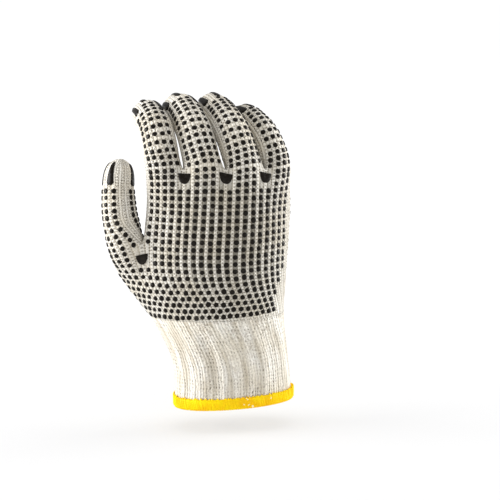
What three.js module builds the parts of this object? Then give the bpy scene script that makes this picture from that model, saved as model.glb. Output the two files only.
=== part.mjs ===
// A right-hand cotton work glove: a string-knit hand, a ribbed wrist cuff, an overlocked hem
// and the moulded half-round dots at the webs. The cloth is a hollow wall all over, shaped as
// a hand wears it, with the fingers curled towards the palm.
// Frame: the origin is the centre of the cuff's mouth, +Z runs up towards the fingers,
// +X from the thumb side to the little-finger side, and -Y is the back of the hand.
// Lengths are in millimetres and angles in degrees.
import * as THREE from "three";

// Cloth and clearances
const KNIT_THICKNESS = 1.8;
const SEAT_GAP = 0.3;

// Hand
const HAND_WIDTH = 88; // across the four finger roots
const HAND_THICKNESS = 32; // through the palm, cloth included
const CUFF_TOP = 53; // where the rib ends and the plain knit begins
const FINGER_FORK = 139; // where the fingers leave the hand
const FINGER_REACH = 71; // the middle finger's centre line, from the fork to the tip
const MOUTH_TILT = 2.5; // the cuff's mouth rises towards the little finger

// Cuff's ribs
const RIB_HEIGHT = 0.5; // crest or groove, from the mean surface
const CUFF_RINGS = 6;

// Hem
const HEM_HEIGHT = 7.4;
const HEM_THREAD = 1.0; // thread wrapped on each face of the cloth

// Web dots
const WEB_DOT_WIDTH = 7.8;
const WEB_DOT_HEIGHT = 6.4;
const WEB_DOT_THICKNESS = 0.6;
const WEB_DOT_DROP = 1.8; // flat edge below the fingers' fork
const THUMB_DOT_DROP = 5.6; // and below the thumb's
const WEB_DOT_LIFT = 0.4; // underside above the cloth's facets
const WEB_DOT_MIDDLE = 0.4; // centre of its faces, as a share of the height
const WEB_DOT_POINTS = 12;

// Cloth columns: each is one quad wide and later carries one column of dots
const THUMB_COLUMNS = 4;
const FINGER_COLUMNS = [5, 5, 5, 4]; // index to little finger, on each face
const HAND_COLUMNS = FINGER_COLUMNS.reduce((sum, columns) => sum + columns, 0);
const SIDE_QUADS = 2; // bare strip along each side
const LOWER_RINGS = 8; // palm rings from the cuff to the thumb's fork
const UPPER_RINGS = 6; // palm rings from there to the fingers' fork
const STUB = 3; // length of each digit that stays on the palm's solid

// Sections from the mouth to the fingers' fork.
// z: share of FINGER_FORK. left, right: shares of half HAND_WIDTH.
// deep, y and the bows: shares of HAND_THICKNESS; a bow is how far that edge lies palmward.
const SECTIONS = [
  { z: 0.0, left: 0.775, right: 0.81, deep: 1.26, y: 0.0, bowLeft: 0.0, bowRight: 0.0 },
  { z: 0.2, left: 0.8, right: 0.74, deep: 1.36, y: 0.0, bowLeft: 0.0, bowRight: 0.0 },
  { z: 0.37, left: 1.06, right: 0.71, deep: 1.35, y: 0.0, bowLeft: 0.25, bowRight: 0.05 },
  { z: 0.53, left: 1.44, right: 0.75, deep: 1.27, y: 0.0, bowLeft: 0.6, bowRight: 0.12 },
  { z: 0.7, left: 1.15, right: 0.8, deep: 1.17, y: 0.0, bowLeft: 0.3, bowRight: 0.2 },
  { z: 0.85, left: 1.12, right: 0.83, deep: 1.07, y: 0.0, bowLeft: 0.3, bowRight: 0.25 },
  { z: 1.0, left: 1.14, right: 0.84, deep: 0.95, y: 0.0, bowLeft: 0.3, bowRight: 0.3 },
];
const THUMB_SECTION = 4; // where the thumb leaves the hand
const KNUCKLE_SECTION = 5;
const FINGER_SECTION = 6;
const FORK_SMOOTHING = 0.3; // how far the roots' scallops are pulled to the palm's section

// Digits. x, y, z: root, as shares of half HAND_WIDTH, HAND_THICKNESS and FINGER_FORK.
// lean: towards the little finger. turn: of the curling plane, towards the thumb. roll: of the
// cloth round the digit, at the root and beyond it. reach: share of FINGER_REACH. joints: shares
// of the reach. pitches: palmward slope of each segment. wide, deep: root section, as shares of
// HAND_WIDTH and HAND_THICKNESS. taper: the tip's size as a share of the root's.
const DIGITS = [
  { name: "finger_index", x: -0.905, y: 0.16, z: 1.0, lean: -3.6, turn: 6, roll: [-6, -8], reach: 0.825,
    joints: [0.36, 0.72], pitches: [10.4, 68.6, 94.3], wide: 0.232, deep: 0.67, taper: 0.87 },
  { name: "finger_middle", x: -0.385, y: -0.04, z: 1.0, lean: -6.5, turn: 7.7, roll: [-4, 0], reach: 0.941,
    joints: [0.36, 0.72], pitches: [21.4, 65.4, 98.9], wide: 0.248, deep: 0.72, taper: 0.88 },
  { name: "finger_ring", x: 0.165, y: -0.08, z: 0.995, lean: -11.9, turn: 8, roll: [-4, 8], reach: 0.965,
    joints: [0.36, 0.72], pitches: [20, 68, 88.4], wide: 0.243, deep: 0.7, taper: 0.88 },
  { name: "finger_little", x: 0.64, y: 0.08, z: 0.985, lean: -13.7, turn: 13.4, roll: [0, 20], reach: 0.855,
    joints: [0.36, 0.72], pitches: [16.2, 67.6, 99.3], wide: 0.198, deep: 0.61, taper: 0.88 },
];
const THUMB = { name: "thumb", x: -1.38, y: 0.34, z: 0.665, lean: -10, turn: -80, roll: [45, 0],
  reach: 0.76, joints: [0.3, 0.62], pitches: [-11, -2, 9], wide: 0.256, deep: 0.7, taper: 0.74 };
const BEND_LENGTH = 13; // half the length over which a joint bends
const ROLL_LENGTH = 18; // length over which the cloth takes its roll
const BLEND_LENGTH = 6; // length over which a root leaves the fork's shape
const TIP_ROUNDING = 0.5; // length of the rounded tip, as a share of the width
const DIGIT_RINGS = [0, 0.09, 0.17, 0.26, 0.35, 0.44, 0.53, 0.62, 0.7, 0.78, 0.85, 0.91, 0.955, 0.985];
const CURVE_SAMPLES = 360;
const PATH_STEPS = 48;

const radians = (degrees) => (degrees * Math.PI) / 180;
const mix = (a, b, share) => a + (b - a) * share;
const clamp = (value, low, high) => Math.min(Math.max(value, low), high);
const vector = (x, y, z) => new THREE.Vector3(x, y, z);
const midpoint = (a, b) => a.clone().lerp(b, 0.5);

function ease(share) {
  const t = clamp(share, 0, 1);
  return t * t * (3 - 2 * t);
}

// Catmull-Rom value at knot position t of evenly or unevenly spaced keys
function splineValue(knots, values, t) {
  let i = 0;
  while (i < knots.length - 2 && t > knots[i + 1]) i += 1;
  const span = knots[i + 1] - knots[i];
  const share = (t - knots[i]) / span;
  const slope = (k) => {
    const before = Math.max(k - 1, 0);
    const after = Math.min(k + 1, knots.length - 1);
    return (values[after] - values[before]) / (knots[after] - knots[before]);
  };
  const s2 = share * share;
  const s3 = s2 * share;
  return (2 * s3 - 3 * s2 + 1) * values[i] + (s3 - 2 * s2 + share) * span * slope(i)
    + (3 * s2 - 2 * s3) * values[i + 1] + (s3 - s2) * span * slope(i + 1);
}

function splinePoint(knots, points, t) {
  return vector(
    splineValue(knots, points.map((p) => p.x), t),
    splineValue(knots, points.map((p) => p.y), t),
    splineValue(knots, points.map((p) => p.z), t),
  );
}

// One section of the cuff or palm as a closed curve, from the thumb side over the back
function sectionCurve(section, samples) {
  const left = (section.left * HAND_WIDTH) / 2;
  const right = (section.right * HAND_WIDTH) / 2;
  const tilt = Math.tan(radians(MOUTH_TILT * (1 - section.z)));
  const points = [];
  for (let i = 0; i < samples; i += 1) {
    const angle = (2 * Math.PI * i) / samples;
    const across = Math.cos(angle);
    const back = Math.sign(Math.sin(angle)) * Math.abs(Math.sin(angle)) ** 0.9;
    const x = -across * (across > 0 ? left : right);
    const bow = (across > 0 ? section.bowLeft : section.bowRight) * across * across;
    const y = (section.y + bow - (back * section.deep) / 2) * HAND_THICKNESS;
    points.push(vector(x, y, section.z * FINGER_FORK + x * tilt));
  }
  return points;
}

// Points spaced evenly round a closed curve
function spacedLoop(curve, count) {
  const lengths = [0];
  for (let i = 0; i < curve.length; i += 1) {
    lengths.push(lengths[i] + curve[i].distanceTo(curve[(i + 1) % curve.length]));
  }
  const total = lengths[curve.length];
  const loop = [];
  let i = 0;
  for (let k = 0; k < count; k += 1) {
    const target = (total * k) / count;
    while (lengths[i + 1] < target) i += 1;
    const share = (target - lengths[i]) / (lengths[i + 1] - lengths[i]);
    loop.push(curve[i].clone().lerp(curve[(i + 1) % curve.length], share));
  }
  return loop;
}

function sectionLoop(section, count) {
  return spacedLoop(sectionCurve(section, CURVE_SAMPLES), count);
}

const reachOf = (digit) => digit.reach * FINGER_REACH;

// Pitch of a digit's segments at a length along it
function pitchAt(digit, along) {
  const [first, second, third] = digit.pitches;
  const bend = (joint) => ease((along - joint * reachOf(digit) + BEND_LENGTH) / (2 * BEND_LENGTH));
  const [near, far] = digit.joints;
  return radians(first + (second - first) * bend(near) + (third - second) * bend(far));
}

// Centre and directions of a digit at a length along it
function digitFrame(digit, along) {
  const turn = radians(digit.turn);
  const lean = radians(digit.lean);
  const sideways = vector(Math.cos(turn), Math.sin(turn), 0);
  const palmward = vector(-Math.sin(turn), Math.cos(turn), 0);
  const rise = vector(0, 0, Math.cos(lean)).addScaledVector(sideways, Math.sin(lean));
  const heading = (pitch) => rise.clone().multiplyScalar(Math.cos(pitch))
    .addScaledVector(palmward, Math.sin(pitch));
  const centre = vector((digit.x * HAND_WIDTH) / 2, digit.y * HAND_THICKNESS, digit.z * FINGER_FORK);
  const step = along / PATH_STEPS;
  for (let i = 0; i < PATH_STEPS; i += 1) {
    centre.addScaledVector(heading(pitchAt(digit, (i + 0.5) * step)), step);
  }
  const pitch = pitchAt(digit, along);
  const back = rise.clone().multiplyScalar(Math.sin(pitch)).addScaledVector(palmward, -Math.cos(pitch));
  return { centre, back, side: heading(pitch).cross(back).normalize() };
}

// A digit's section at a length along it, rounded off over the tip
function digitRing(digit, along, count) {
  const { centre, back, side } = digitFrame(digit, along);
  const wide = digit.wide * HAND_WIDTH;
  const deep = digit.deep * HAND_THICKNESS;
  const taper = mix(1, digit.taper, along / reachOf(digit));
  const rounding = TIP_ROUNDING * wide;
  const past = clamp((along - reachOf(digit) + rounding) / rounding, 0, 1);
  const size = (taper * Math.sqrt(1 - past * past)) / 2;
  const roll = radians(mix(digit.roll[0], digit.roll[1], ease(along / ROLL_LENGTH)));
  return Array.from({ length: count }, (_, i) => {
    const angle = (2 * Math.PI * i) / count + roll;
    return centre.clone()
      .addScaledVector(side, -Math.cos(angle) * wide * size)
      .addScaledVector(back, Math.sin(angle) * deep * size);
  });
}

// A ring's vertices run: thumb-side middle, back, little-finger-side middle, palm.
const ringCount = (columns) => 2 * columns + 2 * SIDE_QUADS;
const LOWER_COUNT = ringCount(THUMB_COLUMNS + HAND_COLUMNS);

// Fork of the fingers: four root rings that share their corners and the webs between them
function fingerFork() {
  const roots = DIGITS.map((digit, i) => digitRing(digit, 0, ringCount(FINGER_COLUMNS[i])));
  joinRoots(roots, (near, next, columns) => [
    midpoint(near[columns + 1], next[1]),
    midpoint(near[columns + 2], next[0]),
    midpoint(near[columns + 3], next[next.length - 1]),
  ]);
  smoothRoots(roots);
  const back = roots.flatMap((root, i) => root.slice(i ? 2 : 1, FINGER_COLUMNS[i] + 2));
  const palm = roots.flatMap((root, i) =>
    root.slice(FINGER_COLUMNS[i] + 3).reverse().slice(i ? 1 : 0));
  const last = roots.length - 1;
  const outerSide = roots[last][FINGER_COLUMNS[last] + 2];
  return { roots, loop: [roots[0][0], ...back, outerSide, ...palm.reverse()] };
}

// Give each pair of neighbouring root rings the same back corner, web and palm corner
function joinRoots(roots, shared) {
  for (let i = 0; i + 1 < roots.length; i += 1) {
    const [near, next, columns] = [roots[i], roots[i + 1], FINGER_COLUMNS[i]];
    const [back, web, palm] = shared(near, next, columns);
    near.splice(columns + 1, 3, back, web, palm);
    next[1] = back;
    next[0] = web;
    next[next.length - 1] = palm;
  }
}

// Pull the roots' scallops towards the palm's own section
function smoothRoots(roots) {
  const hand = sectionLoop(SECTIONS[FINGER_SECTION], ringCount(HAND_COLUMNS));
  const moved = new Set();
  const pull = (point, target) => {
    if (!moved.has(point)) point.lerp(target, FORK_SMOOTHING);
    moved.add(point);
  };
  let start = 1;
  roots.forEach((root, i) => {
    for (let k = 0; k <= FINGER_COLUMNS[i]; k += 1) {
      pull(root[1 + k], hand[start + k]);
      pull(root[root.length - 1 - k], hand[hand.length - start - k]);
    }
    start += FINGER_COLUMNS[i];
  });
}

// Fork of the thumb: its root ring and the hand's section share two corners and a web
function thumbFork() {
  const hand = sectionLoop(SECTIONS[THUMB_SECTION], ringCount(HAND_COLUMNS));
  const root = digitRing(THUMB, 0, ringCount(THUMB_COLUMNS));
  const corner = THUMB_COLUMNS + 1;
  const back = midpoint(root[corner], hand[1]);
  const web = midpoint(root[corner + 1], hand[0]);
  const palm = midpoint(root[corner + 2], hand[hand.length - 1]);
  root.splice(corner, 3, back, web, palm);
  hand[0] = web;
  hand[1] = back;
  hand[hand.length - 1] = palm;
  const lower = [...root.slice(0, corner), ...hand.slice(1), ...root.slice(corner + 3)];
  return { root, hand, lower };
}

// Rings of a digit beyond its root: each leaves the fork's shape over the blend length
function digitRings(digit, root, alongs) {
  const plain = digitRing(digit, 0, root.length);
  return alongs.map((along) => {
    const left = 1 - ease(along / BLEND_LENGTH);
    return digitRing(digit, along, root.length)
      .map((point, i) => point.addScaledVector(root[i].clone().sub(plain[i]), left));
  });
}

// Rings of the hand between key rings that share one count of vertices
function ringsBetween(knots, keys, heights) {
  return heights.map((t) => keys[0].map((_, i) => splinePoint(knots, keys.map((key) => key[i]), t)));
}

function evenSteps(from, to, count) {
  return Array.from({ length: count + 1 }, (_, i) => mix(from, to, i / count));
}

// Faces of a tube of rings, each ring joined to the next
function tubeFaces(rings) {
  const faces = [];
  for (let r = 0; r + 1 < rings.length; r += 1) {
    const count = rings[r].length;
    for (let i = 0; i < count; i += 1) {
      const j = (i + 1) % count;
      faces.push([rings[r][i], rings[r][j], rings[r + 1][j], rings[r + 1][i]]);
    }
  }
  return faces;
}

function capFaces(ring, pole) {
  return ring.map((point, i) => [point, ring[(i + 1) % ring.length], pole]);
}

const placeKey = (point) => point.toArray().map((v) => Math.round(v * 1e4)).join();

// Weld faces given as corner points into indexed triangles
function weld(faces) {
  const points = [];
  const found = new Map();
  const index = (point) => {
    const key = placeKey(point);
    if (!found.has(key)) {
      found.set(key, points.length);
      points.push(point);
    }
    return found.get(key);
  };
  const triangles = [];
  for (const face of faces) {
    const corners = face.map(index);
    for (let i = 2; i < corners.length; i += 1) triangles.push([corners[0], corners[i - 1], corners[i]]);
  }
  return { points, triangles };
}

function vertexNormals({ points, triangles }) {
  const normals = points.map(() => vector(0, 0, 0));
  for (const triangle of triangles) {
    const [a, b, c] = triangle.map((i) => points[i]);
    for (let k = 0; k < 3; k += 1) {
      const [at, next, last] = [0, 1, 2].map((n) => points[triangle[(k + n) % 3]]);
      const corner = next.clone().sub(at).angleTo(last.clone().sub(at));
      const facing = b.clone().sub(a).cross(c.clone().sub(a)).normalize();
      normals[triangle[k]].addScaledVector(facing, corner);
    }
  }
  return normals.map((normal) => normal.normalize());
}

// Edges that only one triangle uses, in that triangle's direction
function openEdges(triangles) {
  const used = new Set(triangles.flatMap(([a, b, c]) => [`${a},${b}`, `${b},${c}`, `${c},${a}`]));
  return [...used].map((edge) => edge.split(",").map(Number)).filter(([a, b]) => !used.has(`${b},${a}`));
}

// Normals of a whole skin, looked up by place, so that solids cut from it keep parallel rims
function normalsByPlace(faces) {
  const skin = weld(faces);
  const normals = vertexNormals(skin);
  return new Map(skin.points.map((point, i) => [placeKey(point), normals[i]]));
}

// A wall of cloth inside a skin, closed along the skin's open edges
function wallGeometry(faces, normals) {
  const skin = weld(faces);
  const count = skin.points.length;
  const inside = skin.points
    .map((point) => point.clone().addScaledVector(normals.get(placeKey(point)), -KNIT_THICKNESS));
  const points = [...skin.points, ...inside];
  const triangles = [...skin.triangles];
  for (const [a, b, c] of skin.triangles) triangles.push([a + count, c + count, b + count]);
  for (const [a, b] of openEdges(skin.triangles)) triangles.push(...rimTriangles(points, a, b, count));
  return geometryOf(points, triangles);
}

// A rim quad split along its shorter diagonal, as the facing rim across a seam is too
function rimTriangles(points, a, b, count) {
  const [c, d] = [a + count, b + count];
  const alongFirst = points[b].distanceTo(points[c]) < points[a].distanceTo(points[d]);
  return alongFirst ? [[b, a, c], [b, c, d]] : [[b, a, d], [a, c, d]];
}

function solidGeometry(faces) {
  const { points, triangles } = weld(faces);
  return geometryOf(points, triangles);
}

function geometryOf(points, triangles) {
  const geometry = new THREE.BufferGeometry();
  geometry.setAttribute("position", new THREE.Float32BufferAttribute(points.flatMap((p) => p.toArray()), 3));
  geometry.setIndex(triangles.flat());
  return geometry;
}

const MATERIALS = {
  cotton: new THREE.MeshStandardMaterial({ color: 0xe9e1cf, roughness: 0.95, metalness: 0 }),
  rib: new THREE.MeshStandardMaterial({ color: 0xe6dccb, roughness: 0.95, metalness: 0 }),
  thread: new THREE.MeshStandardMaterial({ color: 0xf2b90f, roughness: 0.85, metalness: 0 }),
  dots: new THREE.MeshStandardMaterial({ color: 0x1b1b1d, roughness: 0.5, metalness: 0 }),
};

const WRIST_SECTIONS = SECTIONS.slice(0, THUMB_SECTION);
const HEIGHTS = SECTIONS.map((section) => section.z * FINGER_FORK);

// Key rings of the hand, shared by its solids
function handForm() {
  return {
    fingers: fingerFork(),
    thumb: thumbFork(),
    knuckles: sectionLoop(SECTIONS[KNUCKLE_SECTION], ringCount(HAND_COLUMNS)),
    wrist: WRIST_SECTIONS.map((section) => sectionLoop(section, LOWER_COUNT)),
  };
}

// Ring that the columns below the thumb's fork head for: part thumb, part hand
function ringPastThumbFork(form) {
  const corner = THUMB_COLUMNS + 1;
  const rise = HEIGHTS[KNUCKLE_SECTION] - HEIGHTS[THUMB_SECTION];
  const [thumb] = digitRings(THUMB, form.thumb.root, [rise]);
  const hand = form.knuckles;
  const back = midpoint(hand[1], thumb[corner]);
  const palm = midpoint(hand[hand.length - 1], thumb[corner + 2]);
  return [...thumb.slice(0, corner), back, ...hand.slice(2, -1), palm, ...thumb.slice(corner + 3)];
}

function lowerRings(form) {
  const keys = [...form.wrist, form.thumb.lower, ringPastThumbFork(form)];
  const steps = evenSteps(CUFF_TOP + SEAT_GAP / 2, HEIGHTS[THUMB_SECTION], LOWER_RINGS);
  return ringsBetween(HEIGHTS.slice(0, KNUCKLE_SECTION + 1), keys, steps);
}

function upperRings(form) {
  const corner = THUMB_COLUMNS + 1;
  const below = form.wrist[form.wrist.length - 1].slice(corner, LOWER_COUNT - corner + 1);
  const keys = [[below[0], ...below], form.thumb.hand, form.knuckles, form.fingers.loop];
  const steps = evenSteps(HEIGHTS[THUMB_SECTION], HEIGHTS[FINGER_SECTION], UPPER_RINGS);
  return ringsBetween(HEIGHTS.slice(THUMB_SECTION - 1), keys, steps);
}

// Cuff rings have two vertices to a column: a rib's crest and its groove
function cuffRing(height) {
  const keys = WRIST_SECTIONS.map((section) => sectionLoop(section, 2 * LOWER_COUNT));
  return ringsBetween(HEIGHTS.slice(0, THUMB_SECTION), keys, [height])[0];
}

function pushedOut(ring, distance) {
  return ring.map((point, i) => {
    const ahead = ring[(i + 1) % ring.length];
    const behind = ring[(i + ring.length - 1) % ring.length];
    const outward = vector(0, 0, 1).cross(ahead.clone().sub(behind)).normalize().negate();
    return point.clone().addScaledVector(outward, distance(i));
  });
}

function cuffFaces() {
  const steps = evenSteps(HEM_THREAD + SEAT_GAP, CUFF_TOP - SEAT_GAP / 2, CUFF_RINGS);
  const rib = (i) => (i % 2 ? -1 : 1) * (RIB_HEIGHT / 2);
  return tubeFaces(steps.map((height) => pushedOut(cuffRing(height), rib)));
}

// The hem is a channel over the cuff's edge. Its profile runs round the section, as pairs of
// distance outward and height.
function hemFaces() {
  const outer = RIB_HEIGHT / 2 + SEAT_GAP;
  const inner = -KNIT_THICKNESS - RIB_HEIGHT / 2 - SEAT_GAP;
  const round = HEM_THREAD * 0.8;
  const profile = [
    [inner - HEM_THREAD, HEM_HEIGHT], [inner - HEM_THREAD, round], [inner, 0], [outer, 0],
    [outer + HEM_THREAD, round], [outer + HEM_THREAD, HEM_HEIGHT], [outer, HEM_HEIGHT],
    [outer, HEM_THREAD], [inner, HEM_THREAD], [inner, HEM_HEIGHT],
  ];
  const rings = profile.map(([out, height]) => {
    const ring = cuffRing(height).filter((_, i) => i % 2 === 0);
    return pushedOut(ring, () => out);
  });
  return tubeFaces([...rings, rings[0]]);
}

// Point of a grid of rings at a fractional ring and column
function gridPoint(rings, row, column) {
  const count = rings[0].length;
  const r = Math.floor(row);
  const c = Math.floor(column);
  const at = (ring, i) => rings[ring][((i % count) + count) % count];
  const low = at(r, c).clone().lerp(at(r, c + 1), column - c);
  const high = at(Math.min(r + 1, rings.length - 1), c).clone()
    .lerp(at(Math.min(r + 1, rings.length - 1), c + 1), column - c);
  return low.lerp(high, row - r);
}

// A half-round dot, flat edge up, lying over the cloth at one column of a grid of rings
function webDot(rings, column, drop) {
  const top = rings.length - 1;
  const rowHeight = rings[top][column].distanceTo(rings[top - 1][column]);
  const columnWidth = rings[top - 1][column].distanceTo(rings[top - 1][column + 1]);
  const at = (across, down) =>
    gridPoint(rings, top - (drop + down) / rowHeight, column + across / columnWidth);
  const across = at(WEB_DOT_WIDTH / 2, WEB_DOT_HEIGHT / 2).sub(at(-WEB_DOT_WIDTH / 2, WEB_DOT_HEIGHT / 2));
  const outward = across.cross(at(0, 0).sub(at(0, WEB_DOT_HEIGHT))).normalize();
  const arc = Array.from({ length: WEB_DOT_POINTS }, (_, i) => (Math.PI * i) / (WEB_DOT_POINTS - 1));
  const ring = (share) => arc.map((angle) => at(
    (share * Math.cos(angle) * WEB_DOT_WIDTH) / 2,
    mix(WEB_DOT_MIDDLE, Math.sin(angle), share) * WEB_DOT_HEIGHT,
  ));
  const pole = at(0, WEB_DOT_MIDDLE * WEB_DOT_HEIGHT);
  const skin = [...tubeFaces([ring(1), ring(0.5)]), ...capFaces(ring(0.5), pole)];
  return slabGeometry(skin, outward, WEB_DOT_LIFT, WEB_DOT_LIFT + WEB_DOT_THICKNESS);
}

// A slab over a skin, both its faces moved along one direction
function slabGeometry(faces, outward, bottom, top) {
  const skin = weld(faces);
  const count = skin.points.length;
  const [a, b, c] = skin.triangles[0].map((i) => skin.points[i]);
  const facing = b.clone().sub(a).cross(c.clone().sub(a)).dot(outward);
  const triangles = facing > 0 ? skin.triangles : skin.triangles.map(([p, q, r]) => [p, r, q]);
  const shifted = (offset) => skin.points.map((p) => p.clone().addScaledVector(outward, offset));
  const all = [...triangles];
  for (const [p, q, r] of triangles) all.push([p + count, r + count, q + count]);
  for (const [p, q] of openEdges(triangles)) all.push([q, p, p + count], [q, p + count, q + count]);
  return geometryOf([...shifted(top), ...shifted(bottom)], all);
}

const glove = new THREE.Group();
glove.name = "work_glove";

function add(name, geometry, material) {
  const mesh = new THREE.Mesh(geometry, MATERIALS[material]);
  mesh.name = name;
  glove.add(mesh);
}

// Middle of each web, where the walls of two digits meet and the cloth faces straight up
function webPoints(form) {
  const betweenFingers = form.fingers.roots.slice(1).map((root) => root[0]);
  return [...betweenFingers, form.thumb.hand[0]];
}

function addHand(form, lower, upper) {
  const digits = [...DIGITS, THUMB];
  const roots = [...form.fingers.roots, form.thumb.root];
  const stubs = digits.map((digit, i) => [roots[i], ...digitRings(digit, roots[i], [STUB])]);
  const palm = [lower, upper, ...stubs].flatMap(tubeFaces);
  const covers = digits.map((digit, i) => {
    const alongs = DIGIT_RINGS.map((share) => mix(STUB + SEAT_GAP, reachOf(digit), share));
    const rings = digitRings(digit, roots[i], alongs);
    const tip = digitFrame(digit, reachOf(digit)).centre;
    return { rings, faces: [...tubeFaces(rings), ...capFaces(rings[rings.length - 1], tip)] };
  });
  const seams = covers.flatMap((cover, i) => tubeFaces([stubs[i][1], cover.rings[0]]));
  const normals = normalsByPlace([...palm, ...seams, ...covers.flatMap((cover) => cover.faces)]);
  for (const web of webPoints(form)) normals.set(placeKey(web), vector(0, 0, 1));
  add("knit_palm", wallGeometry(palm, normals), "cotton");
  digits.forEach((digit, i) => add(digit.name, wallGeometry(covers[i].faces, normals), "cotton"));
}

// Two dots at each web, one on the back and one on the palm
function addWebDots(lower, upper) {
  addWebPair("thumb", lower, THUMB_COLUMNS + 1, THUMB_DOT_DROP);
  let column = 1;
  ["index_middle", "middle_ring", "ring_little"].forEach((web, i) => {
    column += FINGER_COLUMNS[i];
    addWebPair(web, upper, column, WEB_DOT_DROP);
  });
}

function addWebPair(web, rings, column, drop) {
  add(`web_mark_back_${web}`, webDot(rings, column, drop), "dots");
  add(`web_mark_palm_${web}`, webDot(rings, rings[0].length - column, drop), "dots");
}

const form = handForm();
const lower = lowerRings(form);
const upper = upperRings(form);
addHand(form, lower, upper);
const cuff = cuffFaces();
add("rib_cuff", wallGeometry(cuff, normalsByPlace(cuff)), "rib");
add("hem_overlock", solidGeometry(hemFaces()), "thread");
addWebDots(lower, upper);

export default glove;
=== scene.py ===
# A right-hand cotton work glove: string knit with raised grip dots on both faces, tapered pads on
# the fingertips, half-round marks at the webs, a ribbed cuff and an overlocked hem.
# The cloth is one smooth skin over the solids. Sizes are in millimetres until a mesh is made.
import math

import bpy
import numpy as np
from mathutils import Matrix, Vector
from numpy.linalg import norm


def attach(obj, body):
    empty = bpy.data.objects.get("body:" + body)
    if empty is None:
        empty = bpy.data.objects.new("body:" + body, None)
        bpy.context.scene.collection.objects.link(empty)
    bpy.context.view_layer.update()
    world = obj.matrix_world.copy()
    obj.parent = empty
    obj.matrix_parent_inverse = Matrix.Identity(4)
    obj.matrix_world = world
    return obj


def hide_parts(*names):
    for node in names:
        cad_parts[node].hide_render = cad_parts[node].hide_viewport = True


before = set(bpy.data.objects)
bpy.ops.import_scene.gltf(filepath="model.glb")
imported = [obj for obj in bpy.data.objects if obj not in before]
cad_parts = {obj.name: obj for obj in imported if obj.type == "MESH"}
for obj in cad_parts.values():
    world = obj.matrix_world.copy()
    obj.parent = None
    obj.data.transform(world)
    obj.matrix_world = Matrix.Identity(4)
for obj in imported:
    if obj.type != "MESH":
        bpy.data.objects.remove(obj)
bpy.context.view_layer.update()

MM = 0.001

# Cloth and clearances
KNIT_THICKNESS = 1.8
SEAT_GAP = 0.3

# Hand
HAND_WIDTH = 88
HAND_THICKNESS = 32
CUFF_TOP = 53
FINGER_FORK = 139
FINGER_REACH = 71
MOUTH_TILT = 2.5

# Knit: one column carries one column of dots and is two wales wide
ROW_PITCH = 4.25  # between rows of dots on the hand
DIGIT_ROW_PITCH = 3.6  # between rows along a digit's centre line
RIDGE_HEIGHT = 0.22  # wale between two columns of dots
FURROW_DEPTH = 0.12
CUFF_RIDGE_HEIGHT = 0.26
RIDGE_FADE_ROWS = 7  # rows over which the cuff's ribs die away into the palm
WALE_SLIP = 1  # whole columns by which the wales turn towards the little finger at the cuff
PRINT_INSET = 2.2  # columns left bare at the foot of the print, on the little finger's side
PRINT_SPARE = 0.5  # columns of the bare strip that it covers there, on the thumb's side
COURSE_RISE = 0.8  # rows by which the print's foot is higher on the little finger's side
COURSE_RISE_ROWS = 9
THUMB_SPREAD = 0.45  # columns by which the thumb's print spreads into the strip on the web's side
THUMB_SPREAD_ROWS = 3

# Hem
HEM_HEIGHT = 7.4
HEM_THREAD = 1.0
HEM_LOOPS = 196
HEM_STEPS = 4  # vertices of the band to a column
RIB_HEIGHT = 0.5
HEM_OUTER = RIB_HEIGHT / 2 + SEAT_GAP  # outward from the cuff's mean surface
HEM_INNER = -KNIT_THICKNESS - HEM_OUTER

# Dots, fingertip pads and web marks
DOT_DIAMETER = 3.05
DOT_HEIGHT = 0.62
DOT_SIDES = 10
DOT_SHIFT = (0.03, 0.04)  # how far dots stray from their places, in columns and in rows
DOT_UNLIKENESS = 0.035  # how far their sizes differ, as a share
DOT_PITCH = (1.22, 1.08)  # columns and rows narrower than this, in diameters, shrink a dot
PRINT_MARGIN = 0.45  # columns or rows left bare round pads and web marks
PAD_HEIGHT = 0.65
PAD_LENGTH = 16
PAD_TO_TIP = 3.4
WEB_DOT_WIDTH = 7.8
WEB_DOT_HEIGHT = 6.4
WEB_DOT_DROP = 1.8
THUMB_DOT_DROP = 5.6
WEB_PAD_HEIGHT = 0.85

# Skin. Columns are those of one face, and bare strips SIDE_QUADS wide lie between the faces.
THUMB_COLUMNS = 4
FINGER_COLUMNS = [5, 5, 5, 4]
HAND_COLUMNS = sum(FINGER_COLUMNS)
SIDE_QUADS = 2
LOWER_RINGS = 8
UPPER_RINGS = 6
DIGIT_RINGS = 17
TIP_FADE_RINGS = 3  # last rings of a digit, over which the relief of its knit fades
SMOOTH_LEVEL = 2
STEPS = 2**SMOOTH_LEVEL  # smooth quads along one side of a cage quad

# Sections from the mouth to the fingers' fork.
# z: share of FINGER_FORK. left, right: shares of half HAND_WIDTH.
# deep and the bows: shares of HAND_THICKNESS; a bow is how far that edge lies palmward.
SECTION_KEYS = ("z", "left", "right", "deep", "bow_left", "bow_right")
SECTIONS = [dict(zip(SECTION_KEYS, values)) for values in (
    (0, 0.775, 0.81, 1.26, 0, 0),
    (0.2, 0.8, 0.74, 1.36, 0, 0),
    (0.37, 1.06, 0.71, 1.35, 0.25, 0.05),
    (0.53, 1.44, 0.75, 1.27, 0.6, 0.12),
    (0.7, 1.15, 0.8, 1.17, 0.3, 0.2),
    (0.85, 1.12, 0.83, 1.07, 0.3, 0.25),
    (1, 1.14, 0.84, 0.95, 0.3, 0.3),
)]
THUMB_SECTION = 4
KNUCKLE_SECTION = 5
FINGER_SECTION = 6
FORK_SMOOTHING = 0.3  # how far the roots' scallops are pulled to the hand's section
SECTION_FULLNESS = 0.9  # power of a section's depth: below one is fuller than an ellipse
HEIGHTS = [section["z"] * FINGER_FORK for section in SECTIONS]

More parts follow.
